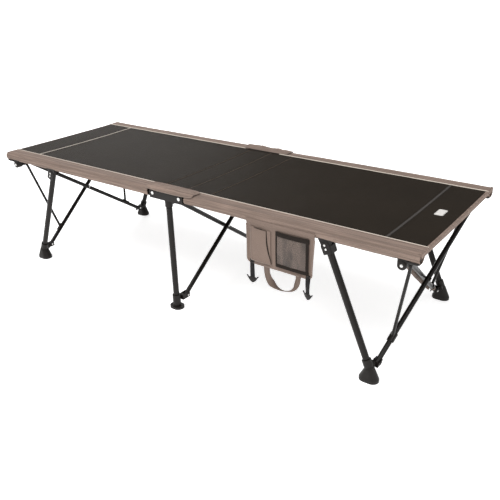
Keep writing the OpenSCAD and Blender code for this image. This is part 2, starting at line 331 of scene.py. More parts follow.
MATERIALS = {
    "deck_cloth": woven("deck_cloth", BLACK, 0.0012, 0.00012, 0.0, 0.62, contrast=0.25, gloss=0.05),
    "border_cloth": woven("border_cloth", shade(TAUPE, 1.12), 0.0014, 0.00022, 0.03, 0.78, 0.0010,
                          streak=0.7, gloss=0.12),
    "pocket_cloth": woven("pocket_cloth", shade(TAUPE, 0.82), 0.0014, 0.00022, 0.03, 0.8, 0.0016,
                          contrast=0.75, gloss=0.12),
    "piping_cloth": woven("piping_cloth", CREAM, 0.0010, 0.00012, 0.25, 0.75, contrast=0.15),
    "seam_tape": woven("seam_tape", (0.050, 0.044, 0.040), 0.0010, 0.00012, 0.0, 0.7, gloss=0.2),
    "binding": woven("binding", shade(TAUPE, 0.92), 0.0009, 0.00014, 0.2, 0.75, contrast=0.3),
    "dark_binding": woven("dark_binding", (0.0175, 0.0135, 0.0110), 0.0009, 0.00014, 0.0, 0.7, gloss=0.08),
    "net": netting("net", (0.028, 0.025, 0.023), shade(TAUPE, 0.80), 0.0022),
    "webbing": ribbed("webbing", shade(TAUPE, 0.95), 0.0018, (0, math.radians(90), 0)),
    "black_webbing": ribbed("black_webbing", (0.014, 0.013, 0.013), 0.0016, (0, math.radians(90), 0)),
    "brown_thread": ribbed("brown_thread", (0.19, 0.135, 0.10), 0.0006, (0, 0, math.radians(90))),
    "dark_thread": ribbed("dark_thread", (0.070, 0.060, 0.054), 0.0006, (0, 0, 0)),
    "grey_thread": ribbed("grey_thread", (0.36, 0.29, 0.25), 0.0006, (0, 0, 0)),
    "patch_cloth": woven("patch_cloth", (0.62, 0.60, 0.57), 0.0009, 0.0001, 0.2, 0.7, contrast=0.2),
    "enamel": painted("enamel", (0.0056, 0.0042, 0.0034), 0.26),
    "plastic": moulded("plastic", (0.0105, 0.0088, 0.0078), 0.44),
    "rivet": steel("rivet", (0.86, 0.85, 0.83), 0.30),
}


# ---- mesh helpers ----


def linked(name, data):
    obj = bpy.data.objects.new(name, data)
    bpy.context.scene.collection.objects.link(obj)
    return obj


def place(name, mesh, material, body, slot, smooth=True):
    """Adds a mesh as a piece that rides on a body."""
    piece = linked(name, mesh)
    mesh.materials.append(MATERIALS[material])
    mesh.polygons.foreach_set("use_smooth", [smooth] * len(mesh.polygons))
    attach(piece, body)
    return piece


def mesh_of(name, points, faces):
    mesh = bpy.data.meshes.new(name)
    mesh.from_pydata([tuple(p) for p in points], [], faces)
    mesh.update()
    return mesh


def fixed(mesh):
    """Turns every face outwards."""
    bm = bmesh.new()
    bm.from_mesh(mesh)
    bmesh.ops.recalc_face_normals(bm, faces=bm.faces)
    bm.to_mesh(mesh)
    bm.free()
    return mesh


def build(name, verts, faces, material, body, slot):
    """Adds a piece from its vertices and faces."""
    return place(name, fixed(mesh_of(name, verts, faces)), material, body, slot)


def steps(low, high, count):
    return [low + (high - low) * i / count for i in range(count + 1)]


def cloth_grid(name, point, us, vs, material, body, slot, skip=None, thick=CLOTH):
    """A sheet through point(u, v), with thickness to both sides. skip(u, v) leaves out the cell round it."""
    points = [point(u, v) for u in us for v in vs]
    across = len(vs)
    faces = []
    for i in range(len(us) - 1):
        for j in range(across - 1):
            if skip and skip((us[i] + us[i + 1]) / 2, (vs[j] + vs[j + 1]) / 2):
                continue
            a = i * across + j
            faces.append((a, a + 1, a + across + 1, a + across))
    used = sorted({i for face in faces for i in face})
    number = {old: new for new, old in enumerate(used)}
    faces = [tuple(number[i] for i in face) for face in faces]
    piece = build(name, [points[i] for i in used], faces, material, body, slot)
    solid = piece.modifiers.new("thickness", "SOLIDIFY")
    solid.thickness = thick
    solid.offset = 0
    even = piece.modifiers.new("even_shading", "WEIGHTED_NORMAL")
    even.weight = 80
    return piece


def across_from(direction, hint):
    side = direction.cross(hint)
    if side.length < 1e-6:
        side = direction.cross(Vector((0.3, 1, 0.2)))
    return side.normalized()


def loft_faces(rows, around, first=0, closed=False):
    """Faces that join rows of points, numbered from first. The end rows get caps unless the rows close up."""
    faces = []
    for i in range(rows if closed else rows - 1):
        n = (i + 1) % rows
        for j in range(around):
            k = (j + 1) % around
            faces.append((i * around + j, i * around + k, n * around + k, n * around + j))
    if not closed:
        faces.append(tuple(reversed(range(around))))
        faces.append(tuple((rows - 1) * around + j for j in range(around)))
    return [tuple(first + i for i in face) for face in faces]


def sweep(points, outline, hint=Vector((0, 0, 1))):
    """Vertices and faces of an outline of (side, up) pairs carried along points."""
    points = [Vector(p) for p in points]
    last = len(points) - 1
    verts = []
    for i, p in enumerate(points):
        direction = (points[min(i + 1, last)] - points[max(i - 1, 0)]).normalized()
        side = across_from(direction, hint(i) if callable(hint) else hint)
        up = side.cross(direction)
        verts += [p + side * a + up * b for a, b in outline]
    return verts, loft_faces(len(points), len(outline))


def ring(radius, sides):
    return [(radius * math.cos(2 * math.pi * i / sides), radius * math.sin(2 * math.pi * i / sides))
            for i in range(sides)]


def cord_mesh(name, points, radius, material, body, slot):
    verts, faces = sweep(points, ring(radius, 8))
    return build(name, verts, faces, material, body, slot)


def flat_outline(width, thick, round_off=0.35):
    """Outline of a strap with softened edges."""
    w, t = width / 2, thick / 2
    c = t * round_off * 2
    return [(-w, -t + c), (-w + c, -t), (0, -t), (w - c, -t), (w, -t + c),
            (w, t - c), (w - c, t), (0, t), (-w + c, t), (-w, t - c)]


def strap_mesh(name, points, width, thick, material, body, slot, hint):
    verts, faces = sweep(points, flat_outline(width, thick), hint)
    return build(name, verts, faces, material, body, slot)


THREAD_SIDES = 5


def soften(piece, width):
    """Rounds the sharp edges of a moulded or metal piece."""
    bevel = piece.modifiers.new("edges", "BEVEL")
    bevel.width = width
    bevel.segments = 2
    bevel.limit_method = "ANGLE"
    return bevel


def stitch_run(name, points, pitch, material, body, slot, radius=0.00045, share=0.68):
    """A row of thread stitches along a line of points."""
    points = [Vector(p) for p in points]
    lengths = [(b - a).length for a, b in zip(points, points[1:])]
    total = sum(lengths)

    def at(distance):
        for a, b, part in zip(points, points[1:], lengths):
            if distance <= part:
                return a.lerp(b, distance / max(part, 1e-9))
            distance -= part
        return points[-1]

    verts, faces = [], []
    profile = [(0.0, 0.45), (0.25, 1.0), (0.75, 1.0), (1.0, 0.45)]
    for n in range(max(1, int(total / pitch))):
        start, end = at(n * pitch), at(n * pitch + pitch * share)
        line = end - start
        if line.length < 1e-6:
            continue
        side = across_from(line.normalized(), Vector((0, 0, 1)))
        up = side.cross(line.normalized())
        base = len(verts)
        for along, swell in profile:
            centre = start + line * along
            verts += [centre + (side * a + up * b) * swell for a, b in ring(radius, THREAD_SIDES)]
        faces += loft_faces(len(profile), THREAD_SIDES, base)
    return build(name, verts, faces, material, body, slot)


def ripple(x, y, z, scale, seed=0.0):
    return noise.noise(Vector((x * scale + seed, y * scale, z * scale)))


# ---- the deck ----


def deck_height(x, y):
    """Face of the black cloth between the two borders."""
    share = min(1.0, abs(y) / BAND_IN)
    hang = SAG * (1 - share ** 2) * (1 - 0.55 * max(0.0, abs(x) - 0.80) / 0.25)
    pull = 0.0007 * math.sin(38 * x) * share ** 6
    waves = 0.0007 * ripple(x, y, 0, 5.0) + 0.0003 * ripple(x, y, 0, 18, 7)
    return DECK_TOP - DECK_FACE - hang + pull + waves


def deck_point(x, y, lift=0.0):
    return Vector((x, y, deck_height(x, y) + lift))


def deck_piece(name, low, high, body):
    count = max(3, round(abs(high - low) / 0.02))
    return cloth_grid(name, deck_point, steps(low, high, count), steps(-BAND_IN, BAND_IN, 36), "deck_cloth",
                      body, "deck_fabric")


def fold_across(piece):
    """Gives the piece a mesh of its own."""
    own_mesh(piece)


def band_outline():
    """The border goes over the rail and back under it. Points are (across from the rail, above the rail)."""
    top = DECK_TOP - RAIL_Z
    inner = RAIL_Y - BAND_IN
    over = [(-inner * (1 - t), top - DECK_FACE * (1 - t)) for t in steps(0, 1, 6)]
    bulge, drop = 0.0192, 0.0182
    wrap = [(bulge * math.cos(a), (top if a > 0 else drop) * math.sin(a))
            for a in steps(math.radians(81), math.radians(-90), 16)]
    under = [(-0.008, -0.0165), (-0.016, -0.0105), (-0.0225, 0.0010), (-0.0265, 0.0125)]
    return over + wrap + under


BAND = band_outline()
BAND_UNDER = 17           # the first points of the outline that are below the rail's middle


def band_point(side, x, k):
    """A point of the border. side is -1 near and 1 far, x is along the cot and k along the outline."""
    i = min(int(k), len(BAND) - 2)
    t = k - i
    a = BAND[i][0] * (1 - t) + BAND[i + 1][0] * t
    b = BAND[i][1] * (1 - t) + BAND[i + 1][1] * t
    soft = math.sin(math.pi * min(1.0, k / (len(BAND) - 1)))
    swell = 0.0008 * ripple(x, side * 3.0, b * 8, 9.0) + 0.0005 * ripple(x, side, b * 40, 34.0, 5)
    ridge = 0.0018 * noise.noise(Vector((x * 3.1, k * 0.62 + side * 4.0, 1.7)))
    ridge += 0.0010 * noise.noise(Vector((x * 9.0, k * 1.35 + side * 9.0, 4.1)))
    out = Vector((0, a, b)).normalized() if (a or b) else Vector((0, 0, 1))
    p = Vector((x, a, b)) + out * (swell + ridge) * soft
    return Vector((p.x, side * (RAIL_Y + p.y), RAIL_Z + p.z))


BRACKET_GAPS = ((LEG_X, LEG_GAP), (END_X, LUG_GAP))


def bracket_gap(x, k):
    """The border is cut away under the rail where a bracket hangs."""
    return k > BAND_UNDER + 1 and any(abs(abs(x) - middle) < half for middle, half in BRACKET_GAPS)


def near_or_far(side):
    return "near" if side < 0 else "far"


def border(side, end):
    sign = SIGN[end]
    name = near_or_far(side)
    body = f"{name}_{end}_rail"
    edges = sorted({round(x, 4) for x in steps(SLEEVE_FROM, HALF_L - 0.002, 90)}
                   | {round(middle + d, 4) for middle, half in BRACKET_GAPS for d in (-half, half)})
    xs = [sign * x for x in edges]
    ks = steps(0, len(BAND) - 1, 2 * (len(BAND) - 1))
    band = cloth_grid(f"{name}_{end}_border", lambda x, k: band_point(side, x, k), xs, ks,
                      "border_cloth", body, "border_fabric", skip=bracket_gap, thick=0.0014)
    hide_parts(f"sleeve_{name}_{end}")
    seam = [band_point(side, x, 0.15) + Vector((0, 0, 0.0011)) for x in xs]
    cord_mesh(f"{name}_{end}_piping", seam, 0.0017 if side < 0 else 0.0023, "piping_cloth", body, "piping")
    for row, k in enumerate((1.6, 5.2, 11.5, 14.4)):
        line = [band_point(side, x, k) + outward(side, k) * 0.0009 for x in xs]
        stitch_run(f"{name}_{end}_border_stitches_{row}", line, PITCH_BORDER, "grey_thread", body,
                   "border_fabric")


def outward(side, k):
    """Direction off the face of the border at k."""
    i = min(int(k), len(BAND) - 2)
    a0, b0 = BAND[i]
    a1, b1 = BAND[i + 1]
    along = Vector((0, a1 - a0, b1 - b0)).normalized()
    out = Vector((0, -along.z, along.y)) * -1
    if out.dot(Vector((0, a0, b0))) < 0:
        out = -out
    return Vector((0, side * out.y, out.z))


for side, end in QUARTERS:
    border(side, end)

DECK_BODY = {"left": "near_left_rail", "right": "near_right_rail", "middle": "near_hub"}

# The right seam is a wide dark tape. The left one is narrow and light.
SEAM_TAPE = {"right": (0.0090, "seam_tape", "dark_thread"), "left": (0.0045, "piping_cloth", "grey_thread")}


def deck_half(end):
    sign = SIGN[end]
    seam, last = SEAM_X[end], HALF_L - 0.003
    body = DECK_BODY[end]
    width, tape_cloth, thread = SEAM_TAPE[end]
    main = deck_piece(f"deck_panel_{end}", sign * PANEL_END, sign * seam, body)
    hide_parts(f"deck_{end}")
    head = deck_piece(f"end_panel_{end}", sign * seam, sign * last, body)
    tape = [deck_point(sign * seam, y, 0.0013) for y in steps(-BAND_IN + 0.003, BAND_IN - 0.003, 48)]
    pieces = [main, head, strap_mesh(f"end_seam_{end}", tape, width, 0.0012, tape_cloth, body, "piping",
                                     Vector((0, 0, 1)))]
    for row, offset in enumerate((-0.0065, 0.0065)):
        line = [deck_point(sign * (seam + offset), y, 0.0009)
                for y in steps(-BAND_IN + 0.004, BAND_IN - 0.004, 48)]
        pieces.append(stitch_run(f"end_seam_stitches_{end}_{row}", line, PITCH_BORDER, thread, body,
                                 "piping"))
    for piece in pieces + end_hem(end, sign, last, body):
        fold_across(piece)


def end_hem(end, sign, last, body):
    """Folded edge that closes the end of the deck."""
    fall = 0.017
    outline = [(-0.0060, 0.0010), (-0.0030, 0.0014), (0.0006, 0.0007), (0.0022, -0.0020), (0.0027, -0.009),
               (0.0022, -fall), (-0.0004, -fall), (-0.0006, -0.006), (-0.0030, -0.0022), (-0.0060, -0.0018)]
    verts = []
    ys = steps(-RAIL_Y - 0.012, RAIL_Y + 0.012, 60)
    for y in ys:
        inner = min(1.0, abs(y) / BAND_IN)
        top = deck_height(sign * last, y) if inner < 1 else DECK_TOP - DECK_FACE + 0.0006
        wave = 0.0006 * ripple(y, sign, 0, 14)
        for a, b in outline:
            verts.append(Vector((sign * (last + a + wave * 0.4), y, top + b + wave * 0.5)))
    hem = build(f"end_hem_{end}", verts, loft_faces(len(ys), len(outline)), "border_cloth", body,
                "border_fabric")
    line = [Vector((sign * (last + 0.0028), y, deck_height(sign * last, min(abs(y), BAND_IN)) - fall + 0.005))
            for y in steps(-RAIL_Y, RAIL_Y, 60)]
    thread = stitch_run(f"end_hem_stitches_{end}", line, PITCH_BORDER, "grey_thread", body, "border_fabric")
    return [hem, thread]


deck_half("left")
deck_half("right")

middle = deck_piece("deck_panel_middle", -PANEL_END, PANEL_END, "near_hub")
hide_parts("deck_middle")
fold_across(middle)

# Three rows of thread hold the lining, each across the whole deck.
for row, x in enumerate((-0.060, 0.057, 0.176)):
    owner = DECK_BODY["left" if x < -PANEL_END else "right"]
    line = [deck_point(x, y, 0.0009) for y in steps(-BAND_IN + 0.003, BAND_IN - 0.003, 60)]
    fold_across(stitch_run(f"lining_stitches_{row}", line, 0.0050, "brown_thread", owner, "deck_fabric",
                           radius=0.0009, share=0.9))


# ---- saddle flaps over the hinges ----

FLAP_END = {"left": -0.110, "right": 0.136}
FLAP_MIDDLE = (FLAP_END["left"] + FLAP_END["right"]) / 2
FLAP_HALF = (FLAP_END["right"] - FLAP_END["left"]) / 2


def flap_point(side, x, v):
    """A flap lies over the border. v runs from 0 at its inner edge to 1 at its hanging edge."""
    wide = max(0.0, abs(x - FLAP_MIDDLE) / FLAP_HALF)
    reach = 11.0 - 1.9 * wide ** 3 - 0.5 * (1 - wide)
    k = 0.35 + 0.5 * wide ** 4 + v * reach
    p = band_point(side, x, k)
    loft = 0.0042 + 0.0030 * math.sin(math.pi * v) * (1 - 0.6 * wide ** 4)
    free = math.sin(math.pi * min(1, v * 1.1))
    broad = 0.0036 * ripple(x, side * 5, v * 0.09, 24.0, 3)
    fine = 0.0022 * ripple(x + 0.5 * v, side, v * 0.05, 60.0, 8)
    crease = (broad + fine) * free
    pull = 0.0016 * math.sin(26 * x + 5 * v) * v * (1 - wide ** 2)
    return p + outward(side, k) * (loft + crease + pull)


def flap_inset(v):
    """How far the end of a flap is drawn in at v, so that its corners are round."""
    corner = 0.16
    if v < corner:
        return 0.020 * (1 - math.sqrt(max(0.0, 1 - (1 - v / corner) ** 2)))
    if v > 1 - corner:
        return 0.014 * (1 - math.sqrt(max(0.0, 1 - ((v - 1 + corner) / corner) ** 2)))
    return 0.0


def flap_half(side, end):
    sign = SIGN[end]
    name = near_or_far(side)
    hub = f"{name}_hub"
    reach = abs(FLAP_END[end])

    def point(s, v):
        return flap_point(side, sign * s * (reach - flap_inset(v)), v)

    vs = steps(0, 1, 22)
    flap = cloth_grid(f"{name}_{end}_flap", point, steps(0, 1, 26), vs, "border_cloth", hub,
                      "border_fabric", thick=0.0016)
    rim = ([point(s, 0) for s in steps(0, 1, 26)] + [point(1, v) for v in vs[1:]]
           + [point(s, 1) for s in steps(1, 0, 26)[1:]])
    verts, faces = sweep(rim, ring(0.0021, 8))
    edge = build(f"{name}_{end}_flap_binding", verts, faces, "binding", hub, "border_fabric")
    inner = [point(s, 0.10) for s in steps(0.0, 0.93, 26)] + [point(0.93, v) for v in steps(0.12, 0.90, 14)]
    inner += [point(s, 0.90) for s in steps(0.93, 0.0, 26)[1:]]
    lifted = [p + Vector((0, side * 0.0006, 0.0008)) for p in inner]
    thread = stitch_run(f"{name}_{end}_flap_stitches", lifted, PITCH_FLAP, "grey_thread", hub,
                        "border_fabric")
    for piece in (flap, edge, thread):
        piece.parent = None
        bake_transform(piece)


for side, end in QUARTERS:
    flap_half(side, end)


# ---- the side pocket ----

POCKET_TOP = POCKET_HIGH.z
POCKET_IN = POCKET_HIGH.y - 0.0006
POCKET_L, POCKET_R = POCKET_LOW.x, POCKET_HIGH.x
POCKET_BOTTOM = POCKET_LOW.z


def arch(t):
    return max(0.0, math.sin(math.pi * min(1.0, max(0.0, t))))


def panel_edge(z):
    """Left and right sides of the panel at a height: it tapers downwards and its lower corners are round."""
    down = max(0.0, (POCKET_TOP - z) / (POCKET_TOP - POCKET_BOTTOM))
    left = POCKET_L + 0.004 * math.sin(math.pi * down) * 0.4
    right = POCKET_R - 0.009 * min(1.0, down * 1.25) ** 0.8
    corner, low = 0.018, z - POCKET_BOTTOM
    if low < corner:
        cut = corner - math.sqrt(max(0.0, corner ** 2 - (corner - low) ** 2))
        left += cut
        right -= cut
    return left, right


def panel_depth(x, z):
    """How far the panel stands off its plane: a belly, ripples and a rise where it meets the border."""
    s = (x - POCKET_L) / (POCKET_R - POCKET_L)
    down = (POCKET_TOP - z) / (POCKET_TOP - POCKET_BOTTOM)
    belly = 0.0016 * arch(s) * arch(down)
    over_border = 0.0030 * min(1.0, max(0.0, (z - POCKET_TOP + 0.022) / 0.022)) ** 2
    return belly + over_border + 0.0007 * ripple(x, 2.0, z, 26.0) * (0.25 + max(0.0, down))


def panel_point(x, z, lift=0.0):
    return Vector((x, POCKET_IN - 0.0022 - panel_depth(x, z) - lift, z))


def panel_row(s, z, lift=0.0):
    left, right = panel_edge(z)
    return panel_point(left + (right - left) * s, z, lift)


FACE_LIFT = 0.0030        # a pocket's face lies this far in front of the panel along its seams


def pocket_face(name, corners, material, slot, puff, top_drop):
    """Adds a pocket's face, which puffs out between its sewn edges. Returns the function of its points."""
    low, high = corners

    def point(s, t):
        x = low[0] + (high[0] - low[0]) * s
        top = high[1] - top_drop(s)
        z = low[1] + (top - low[1]) * t
        full = arch(s) ** 0.7 * arch(0.04 + 0.93 * t) ** 0.7
        pleat = 0.0011 * noise.noise(Vector((x * 62, 3.27, z * 11))) * arch(s) * arch(t) ** 0.5
        soft = 0.0016 * ripple(x, 0.27, z, 38.0, 11) * arch(s) + pleat
        return panel_point(x, z, FACE_LIFT + puff * full + soft)

    cloth_grid(name, point, steps(0, 1, 24), steps(0, 1, 24), material, "pocket", slot, thick=0.0014)
    return point


SEWN_TO_BORDER = 0.011    # the panel goes this far up the border
rows = [POCKET_TOP - (POCKET_TOP - POCKET_BOTTOM) * t for t in steps(0, 1, 40)]
sewn_rows = [POCKET_TOP + SEWN_TO_BORDER * t for t in steps(1, 0, 6)[:-1]]
panel = cloth_grid("pocket_back", lambda z, s: panel_row(s, z), sewn_rows + rows, steps(0, 1, 44),
                   "pocket_cloth", "pocket", "border_fabric", thick=0.0022)
panel.parent = None
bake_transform(panel)
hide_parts("pocket_panel")

RIM_LIFT = 0.0016
RIM_FROM = POCKET_TOP - 0.010     # the binding starts here, so that it clears the border as the panel swings
OUTWARDS = Vector((0, -1, 0))
rim_rows = [z for z in rows if z < RIM_FROM]
rim = [panel_row(0, z, RIM_LIFT) for z in rim_rows]
rim += [panel_row(s, POCKET_BOTTOM, RIM_LIFT) for s in steps(0, 1, 30)[1:-1]]
rim += [panel_row(1, z, RIM_LIFT) for z in reversed(rim_rows)]
strap_mesh("pocket_rim_binding", rim, 0.0062, 0.0020, "binding", "pocket", "border_fabric", OUTWARDS)

# The closed pocket is a cloth face whose mouth and slit meet in a corner. The net pocket is beside it.
GREY = ((POCKET_L + 0.020, POCKET_BOTTOM + 0.014), (POCKET_L + 0.106, POCKET_TOP - 0.017))
NET = ((POCKET_L + 0.131, POCKET_BOTTOM + 0.014), (POCKET_R - 0.022, POCKET_TOP - 0.014))
grey_point = pocket_face("pocket_grey_face", GREY, "pocket_cloth", "border_fabric", 0.0048,
                         lambda s: 0.0035 * s)
net_point = pocket_face("pocket_net_face", NET, "net", "mesh_fabric", 0.0046,
                        lambda s: 0.0012 * math.sin(math.pi * s))


def bound(name, points, lift, width, material, thick=0.0020):
    """A binding along a line of points, raised off them."""
    strap_mesh(name, raised(points, lift), width, thick, material, "pocket", "border_fabric", OUTWARDS)


def raised(points, by):
    return [p + OUTWARDS * by for p in points]


def tapered_slit(name, points, width, thick):
    """A dark lip that is widest in its middle and closes towards its ends."""
    outline = flat_outline(1.0, 1.0)
    verts, faces = sweep(points, outline, OUTWARDS)
    around = len(outline)
    for i, middle in enumerate(points):
        open_share = 0.35 + 0.65 * arch(i / (len(points) - 1))
        for j in range(around):
            offset = verts[i * around + j] - middle
            deep = Vector((0, offset.y, 0))
            verts[i * around + j] = middle + (offset - deep) * width * open_share + deep * thick
    build(name, verts, faces, "dark_binding", "pocket", "border_fabric")


mouth = [grey_point(s, 0.985) for s in steps(0.17, 0.80, 20)]
tapered_slit("pocket_grey_mouth", raised(mouth, 0.0014), 0.0030, 0.0018)
slit = [grey_point(0.80 + 0.24 * t - 0.05 * math.sin(math.pi * t), 0.985 * (1 - t) + 0.02 * t)
        for t in steps(0, 1, 30)]
tapered_slit("pocket_grey_slit", raised(slit, 0.0014), 0.0052, 0.0020)
bound("pocket_grey_hem", [grey_point(s, 0) for s in steps(0, 1, 20)], 0.0012, 0.0044, "binding")
bound("pocket_grey_side", [grey_point(0, t) for t in steps(0, 1, 20)], 0.0012, 0.0044, "binding")
bound("pocket_net_top", [net_point(s, 0.945) for s in steps(-0.02, 1.02, 24)], 0.0016, 0.0175, "dark_binding",
      thick=0.0024)
bound("pocket_net_foot", [net_point(s, 0.045) for s in steps(-0.02, 1.02, 24)], 0.0014, 0.0135,
      "dark_binding")
bound("pocket_net_left", [net_point(0.0, t) for t in steps(0, 1, 24)], 0.0012, 0.0062, "dark_binding")
bound("pocket_net_right", [net_point(0.965, t) for t in steps(0, 1, 24)], 0.0012, 0.0115, "dark_binding")


def pocket_thread(name, line):
    stitch_run(name, line, PITCH_POCKET, "grey_thread", "pocket", "border_fabric")


SEAM_MARGIN = 0.0055      # the thread runs this far outside a pocket's face
THREAD_LIFT = 0.0014

for label, ((x0, z0), (x1, z1)) in (("grey", GREY), ("net", NET)):
    x0, z0, x1, z1 = x0 - SEAM_MARGIN, z0 - SEAM_MARGIN, x1 + SEAM_MARGIN, z1 + SEAM_MARGIN
    corners = [(x0, z1), (x0, z0), (x1, z0), (x1, z1)]
    line = []
    for (xa, za), (xb, zb) in zip(corners, corners[1:]):
        line += [panel_point(xa + (xb - xa) * t, za + (zb - za) * t, THREAD_LIFT) for t in steps(0, 1, 24)]
    pocket_thread(f"pocket_{label}_stitches", line)
pocket_thread("pocket_top_stitches", [panel_row(s, RIM_FROM, THREAD_LIFT) for s in steps(0.02, 0.98, 60)])
pocket_thread("pocket_rim_stitches", raised(rim, 0.0012))


def handle_line():
    """Webbing sewn to the panel's foot in two places, which hangs in a loop between them."""
    low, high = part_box("pocket_handle")
    left, right, foot = low.x + 0.023, high.x + 0.001, low.z + 0.001
    middle, reach = (left + right) / 2, (right - left) / 2
    back, sewn = POCKET_IN - 0.0035, 0.012
    start = [Vector((left, back, POCKET_BOTTOM + sewn * (1 - t))) for t in steps(0, 1, 4)]
    turn = [Vector((middle - reach * math.cos(a), back - 0.0030 * math.sin(a),
                    POCKET_BOTTOM - (POCKET_BOTTOM - foot) * math.sin(a) ** 0.85))
            for a in steps(0, math.pi, 48)]
    finish = [Vector((right, back, POCKET_BOTTOM + sewn * t)) for t in steps(0, 1, 4)]
    return start + turn[1:] + finish[1:]


loop = handle_line()
HANDLE_W = 0.026


def eased(t):
    """0 to 1 with a soft start and end."""
    t = min(1.0, max(0.0, t))
    return t * t * (3 - 2 * t)


def handle_hint(i):
    """Face of the webbing: flat on the panel at its ends, and turned edge-on where the loop hangs lowest."""
    t = i / (len(loop) - 1)
    edge = eased((t - 0.10) / 0.42)
    if t > 0.52:
        edge = (1 - 0.75 * eased((t - 0.52) / 0.34)) * min(1.0, (1.0 - t) / 0.10)
    along = loop[min(i + 1, len(loop) - 1)] - loop[max(i - 1, 0)]
    inward = along.normalized().cross(Vector((0, 1, 0)))
    return OUTWARDS * (1 - edge) + (inward * 0.9 + Vector((0, 0.42, 0))) * edge


handle = strap_mesh("pocket_webbing_handle", loop, HANDLE_W, 0.0017, "webbing", "pocket", "webbing",
                    handle_hint)
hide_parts("pocket_handle")


def strap_x(x, sway, t):
    """A strap's place along the cot, from t 0 at its top to 1 at its foot."""
    return x + sway * math.sin(2.6 * t)


def hanging_strap(label, x, foot, sway, turn):
    """Webbing sewn to the panel's foot. turn is how far its lower end is twisted."""
    top, count = POCKET_BOTTOM + 0.014, 20
    line = [Vector((strap_x(x, sway, t), POCKET_IN - 0.0034 - 0.0016 * math.sin(math.pi * t),
                    top - (top - foot + 0.006) * t)) for t in steps(0, 1, count)]

    def face(i):
        share = min(1.0, max(0.0, (i / count - 0.22) / 0.5))
        return Vector((math.sin(turn * share), -math.cos(turn * share), 0))

    strap = strap_mesh(f"{label}_strap", line, 0.0195, 0.0018, "black_webbing", "pocket", "black_webbing",
                       face)
    front = line[0].y - 0.0012
    corners = [(-0.007, 0.010), (0.007, 0.010), (0.007, 0.002), (-0.007, 0.002), (-0.007, 0.010)]
    stitch = [Vector((x + a, front, POCKET_BOTTOM + b)) for a, b in corners]
    stitch_run(f"{label}_strap_stitches", stitch, 0.0035, "grey_thread", "pocket", "black_webbing")
    return strap


def buckle_slab(name, outline, y_front, y_back, bevel):
    """A moulded plate: an (x, z) outline given depth along Y, with softened edges."""
    count = len(outline)
    verts = [Vector((x, y, z)) for y in (y_front, y_back) for x, z in outline]
    faces = [tuple(range(count)), tuple(reversed(range(count, 2 * count)))]
    faces += [(i, (i + 1) % count, count + (i + 1) % count, count + i) for i in range(count)]
    piece = build(name, verts, faces, "plastic", "pocket", "moulded_plastic")
    soften(piece, bevel)
    return piece


def buckle(label, x, foot, turn):
    """The hooked half of a side-release buckle: a bar that narrows downwards and two sprung arms."""
    y0, y1 = POCKET_IN - 0.0062, POCKET_IN - 0.0014
    half = [(0.0, 0.0), (0.0135, 0.0), (0.0135, -0.009), (0.006, -0.019), (0.003, -0.0232)]
    bar = [(x + a, foot + b) for a, b in half] + [(x - a, foot + b) for a, b in half[:0:-1]]
    pieces = [buckle_slab(f"{label}_buckle", bar, y0, y1, 0.0012)]
    arm = [(0.007, -0.021), (0.0155, -0.0115), (0.0215, -0.001), (0.0255, 0.0020), (0.0240, 0.0055),
           (0.0190, 0.0035), (0.0120, -0.008), (0.0045, -0.016)]
    for sign, word in ((-1, "left"), (1, "right")):
        points = [(x + sign * a, foot + b) for a, b in arm]
        pieces.append(buckle_slab(f"{label}_buckle_arm_{word}", points, y0 + 0.0008, y1 - 0.0008, 0.0008))
    centre = Matrix.Translation((x, (y0 + y1) / 2, 0))
    for piece in pieces:
        piece.data.transform(centre @ Matrix.Rotation(turn, 4, "Z") @ centre.inverted())
    return pieces[0]


strap_low, strap_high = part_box("pocket_straps")
STRAPS = {"left": (strap_low.x + 0.010, 0.001, 0.12), "right": (strap_high.x - 0.010, -0.002, -0.30)}

for label, (x, sway, turn) in STRAPS.items():
    strap = hanging_strap(label, x, strap_low.z, sway, turn)
    hook = buckle(label, strap_x(x, sway, 1), strap_low.z, turn)
    if label == "left":
        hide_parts("pocket_straps")
        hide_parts("strap_buckles")


# ---- rivet heads, leg sockets, end cradles, the tension strap and the patch ----


def turned(name, profile, at, axis, material, body, slot, sides=20):
    """A round piece turned about an axis. profile is a list of (radius, height) pairs, the base first."""
    axis = Vector(axis).normalized()
    side = across_from(axis, Vector((0, 0, 1)))
    up = axis.cross(side)
    verts = []
    for radius, height in profile:
        verts += [Vector(at) + axis * height + side * a + up * b for a, b in ring(radius, sides)]
    build(name, verts, loft_faces(len(profile), sides), material, body, slot)


def rivet_head(name, at, axis, body, radius=0.0044):
    """The domed steel head in the middle of a rivet's washer."""
    dome = [(radius, -0.0008), (radius, 0.0002)]
    dome += [(radius * math.cos(a), 0.0004 + 0.42 * radius * math.sin(a)) for a in steps(0.1, 1.45, 7)]
    turned(name, dome, at, axis, "rivet", body, "rivet_steel")


BRACE_GRIP = 0.0152       # from a brace's axis to the outer face of its rivet's head
CLEVIS_GRIP = 0.0267      # the same for the rivet through a clevis's three plates
CROSS_GRIP = 0.0236       # the same at a crossing
LEG_GRIP = 0.0185         # the same for a leg's rivet, from the rail's middle
LUG_GRIP = 0.0150         # from the rail's middle to the outboard end of a stub pin
LUG_FACE = 0.0120         # from the rail's middle to the lug's outboard face
SOCKET_FACE = 0.0164      # from the rail's middle to the back of a leg's socket plate
SOCKET_RIDGE = 0.0042     # the ridge of the plate stands this far in front of its back
LEG_LEAN = math.radians(22.9)    # of an end leg from upright, as the legs stand at rest


def hull_piece(name, points, body):
    """A moulded piece drawn as the hull of some points."""
    hull = bmesh.new()
    for point in points:
        hull.verts.new(point)
    bmesh.ops.convex_hull(hull, input=hull.verts)
    mesh = bpy.data.meshes.new(name)
    hull.to_mesh(mesh)
    hull.free()
    soften(place(name, mesh, "plastic", body, "moulded_plastic", smooth=False), 0.0007)


